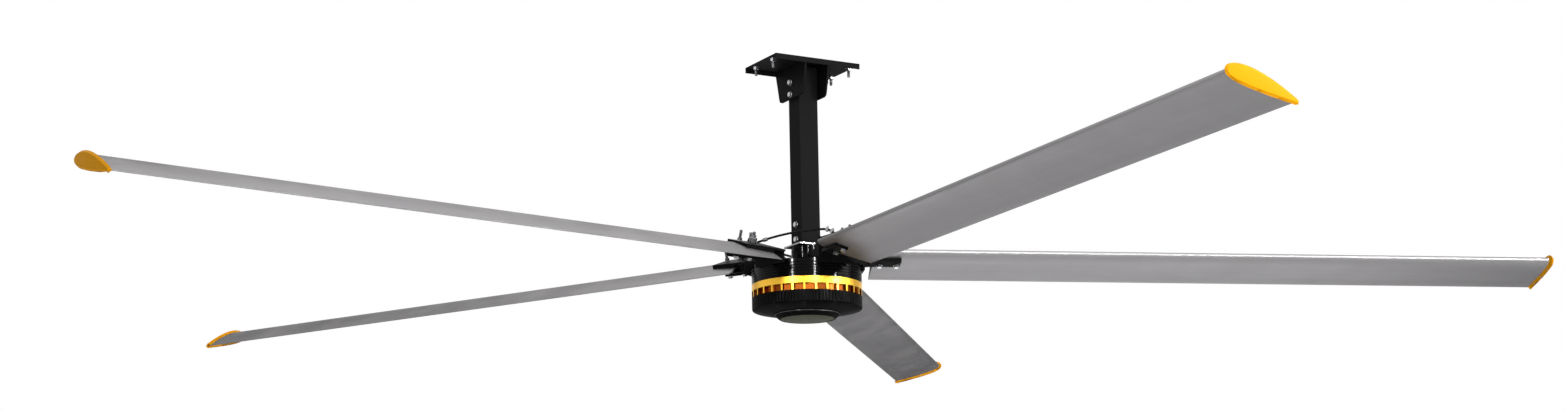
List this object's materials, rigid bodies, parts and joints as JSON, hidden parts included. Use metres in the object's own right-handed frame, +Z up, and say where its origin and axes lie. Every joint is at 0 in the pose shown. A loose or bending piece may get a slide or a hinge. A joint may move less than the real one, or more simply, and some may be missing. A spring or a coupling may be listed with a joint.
{
  "type": "industrial ceiling fan",
  "caption": "Large slow-turning ceiling fan: hollow airfoil blades with orange tip caps on a direct-drive hub motor under a square down rod and a ceiling plate.",
  "frame": {"origin": "centre of the ceiling plate's top face, which lies against the ceiling or beam", "axes": "+Z up along the down rod and the rotor's axis, +X along the ceiling plate's long side, +Y across it"},
  "size_m": [5.8528, 5.7229, 1.0385],
  "materials": {
    "blade_aluminium": "satin anodised",
    "black_steel": "satin black powder coat",
    "black_casting": "semi-gloss black",
    "orange_plastic": "satin",
    "orange_casting": "semi-gloss orange",
    "black_plastic": "semi-gloss",
    "lens": "glossy smoked",
    "rope": "black sheathed wire rope",
    "seal_rubber": "matt",
    "copper": "enamelled copper wire, taken as lacquered winding",
    "electrical_steel": "laminated",
    "cast_aluminium": "as cast",
    "brass_cage": "machined",
    "bearing_steel": "ground",
    "dark_steel": "black oxide",
    "zinc_steel": "bright zinc"
  },
  "bodies": {
    "hanger": {"ceiling_plate": "black_steel", "ear_left": "black_steel", "ear_right": "black_steel", "ceiling_bolts": "zinc_steel", "ear_bolts": "zinc_steel", "ear_spacers": "zinc_steel", "rod_bolts": "dark_steel", "hanger_washers": "zinc_steel", "hanger_nuts": "zinc_steel", "down_rod": "black_steel", "rod_adapter": "dark_steel", "shaft_screws": "dark_steel", "motor_shaft": "black_steel", "shaft_lock_nut": "dark_steel", "stator_carrier": "cast_aluminium", "stator_core": "electrical_steel", "stator_coils": "copper", "upper_bearing_inner_ring": "bearing_steel", "lower_bearing_inner_ring": "bearing_steel"},
    "upper_ball_set": {"upper_bearing_cage": "brass_cage", "upper_bearing_balls": "bearing_steel"},
    "lower_ball_set": {"lower_bearing_cage": "brass_cage", "lower_bearing_balls": "bearing_steel"},
    "rotor": {"upper_bearing_outer_ring": "bearing_steel", "lower_bearing_outer_ring": "bearing_steel", "shaft_seal": "seal_rubber", "upper_cover": "black_casting", "rotor_yoke": "electrical_steel", "rotor_magnets": "electrical_steel", "accent_ring": "orange_casting", "lower_cover": "black_casting", "cover_screws": "dark_steel", "bottom_cap": "black_plastic", "cap_lens": "lens", "blade_bracket_1": "black_steel", "blade_bracket_2": "black_steel", "blade_bracket_3": "black_steel", "blade_bracket_4": "black_steel", "blade_bracket_5": "black_steel", "clamp_plates": "black_steel", "blade_1": "blade_aluminium", "blade_2": "blade_aluminium", "blade_3": "blade_aluminium", "blade_4": "blade_aluminium", "blade_5": "blade_aluminium", "tip_cap_1": "orange_plastic", "tip_cap_2": "orange_plastic", "tip_cap_3": "orange_plastic", "tip_cap_4": "orange_plastic", "tip_cap_5": "orange_plastic", "bracket_bolts": "zinc_steel", "clamp_bolts": "zinc_steel", "clamp_nuts": "zinc_steel", "clamp_washers": "zinc_steel", "tip_cap_screws": "zinc_steel", "safety_rope": "rope", "rope_eyes": "zinc_steel", "rope_ferrules": "zinc_steel", "rope_clips": "zinc_steel"}
  },
  "joints": [
    {"name": "rotor_spin", "type": "hinge", "parent": "hanger", "child": "rotor", "pos_m": [0, 0, -0.795], "axis": [0, 0, 1], "continuous": true},
    {"name": "upper_balls_spin", "type": "hinge", "parent": "hanger", "child": "upper_ball_set", "pos_m": [0, 0, -0.795], "axis": [0, 0, 1], "continuous": true},
    {"name": "lower_balls_spin", "type": "hinge", "parent": "hanger", "child": "lower_ball_set", "pos_m": [0, 0, -0.795], "axis": [0, 0, 1], "continuous": true}
  ],
  "couplings": [
    {"joint": "upper_balls_spin", "follows": "rotor_spin", "ratio": 0.56522},
    {"joint": "lower_balls_spin", "follows": "rotor_spin", "ratio": 0.56667}
  ]
}
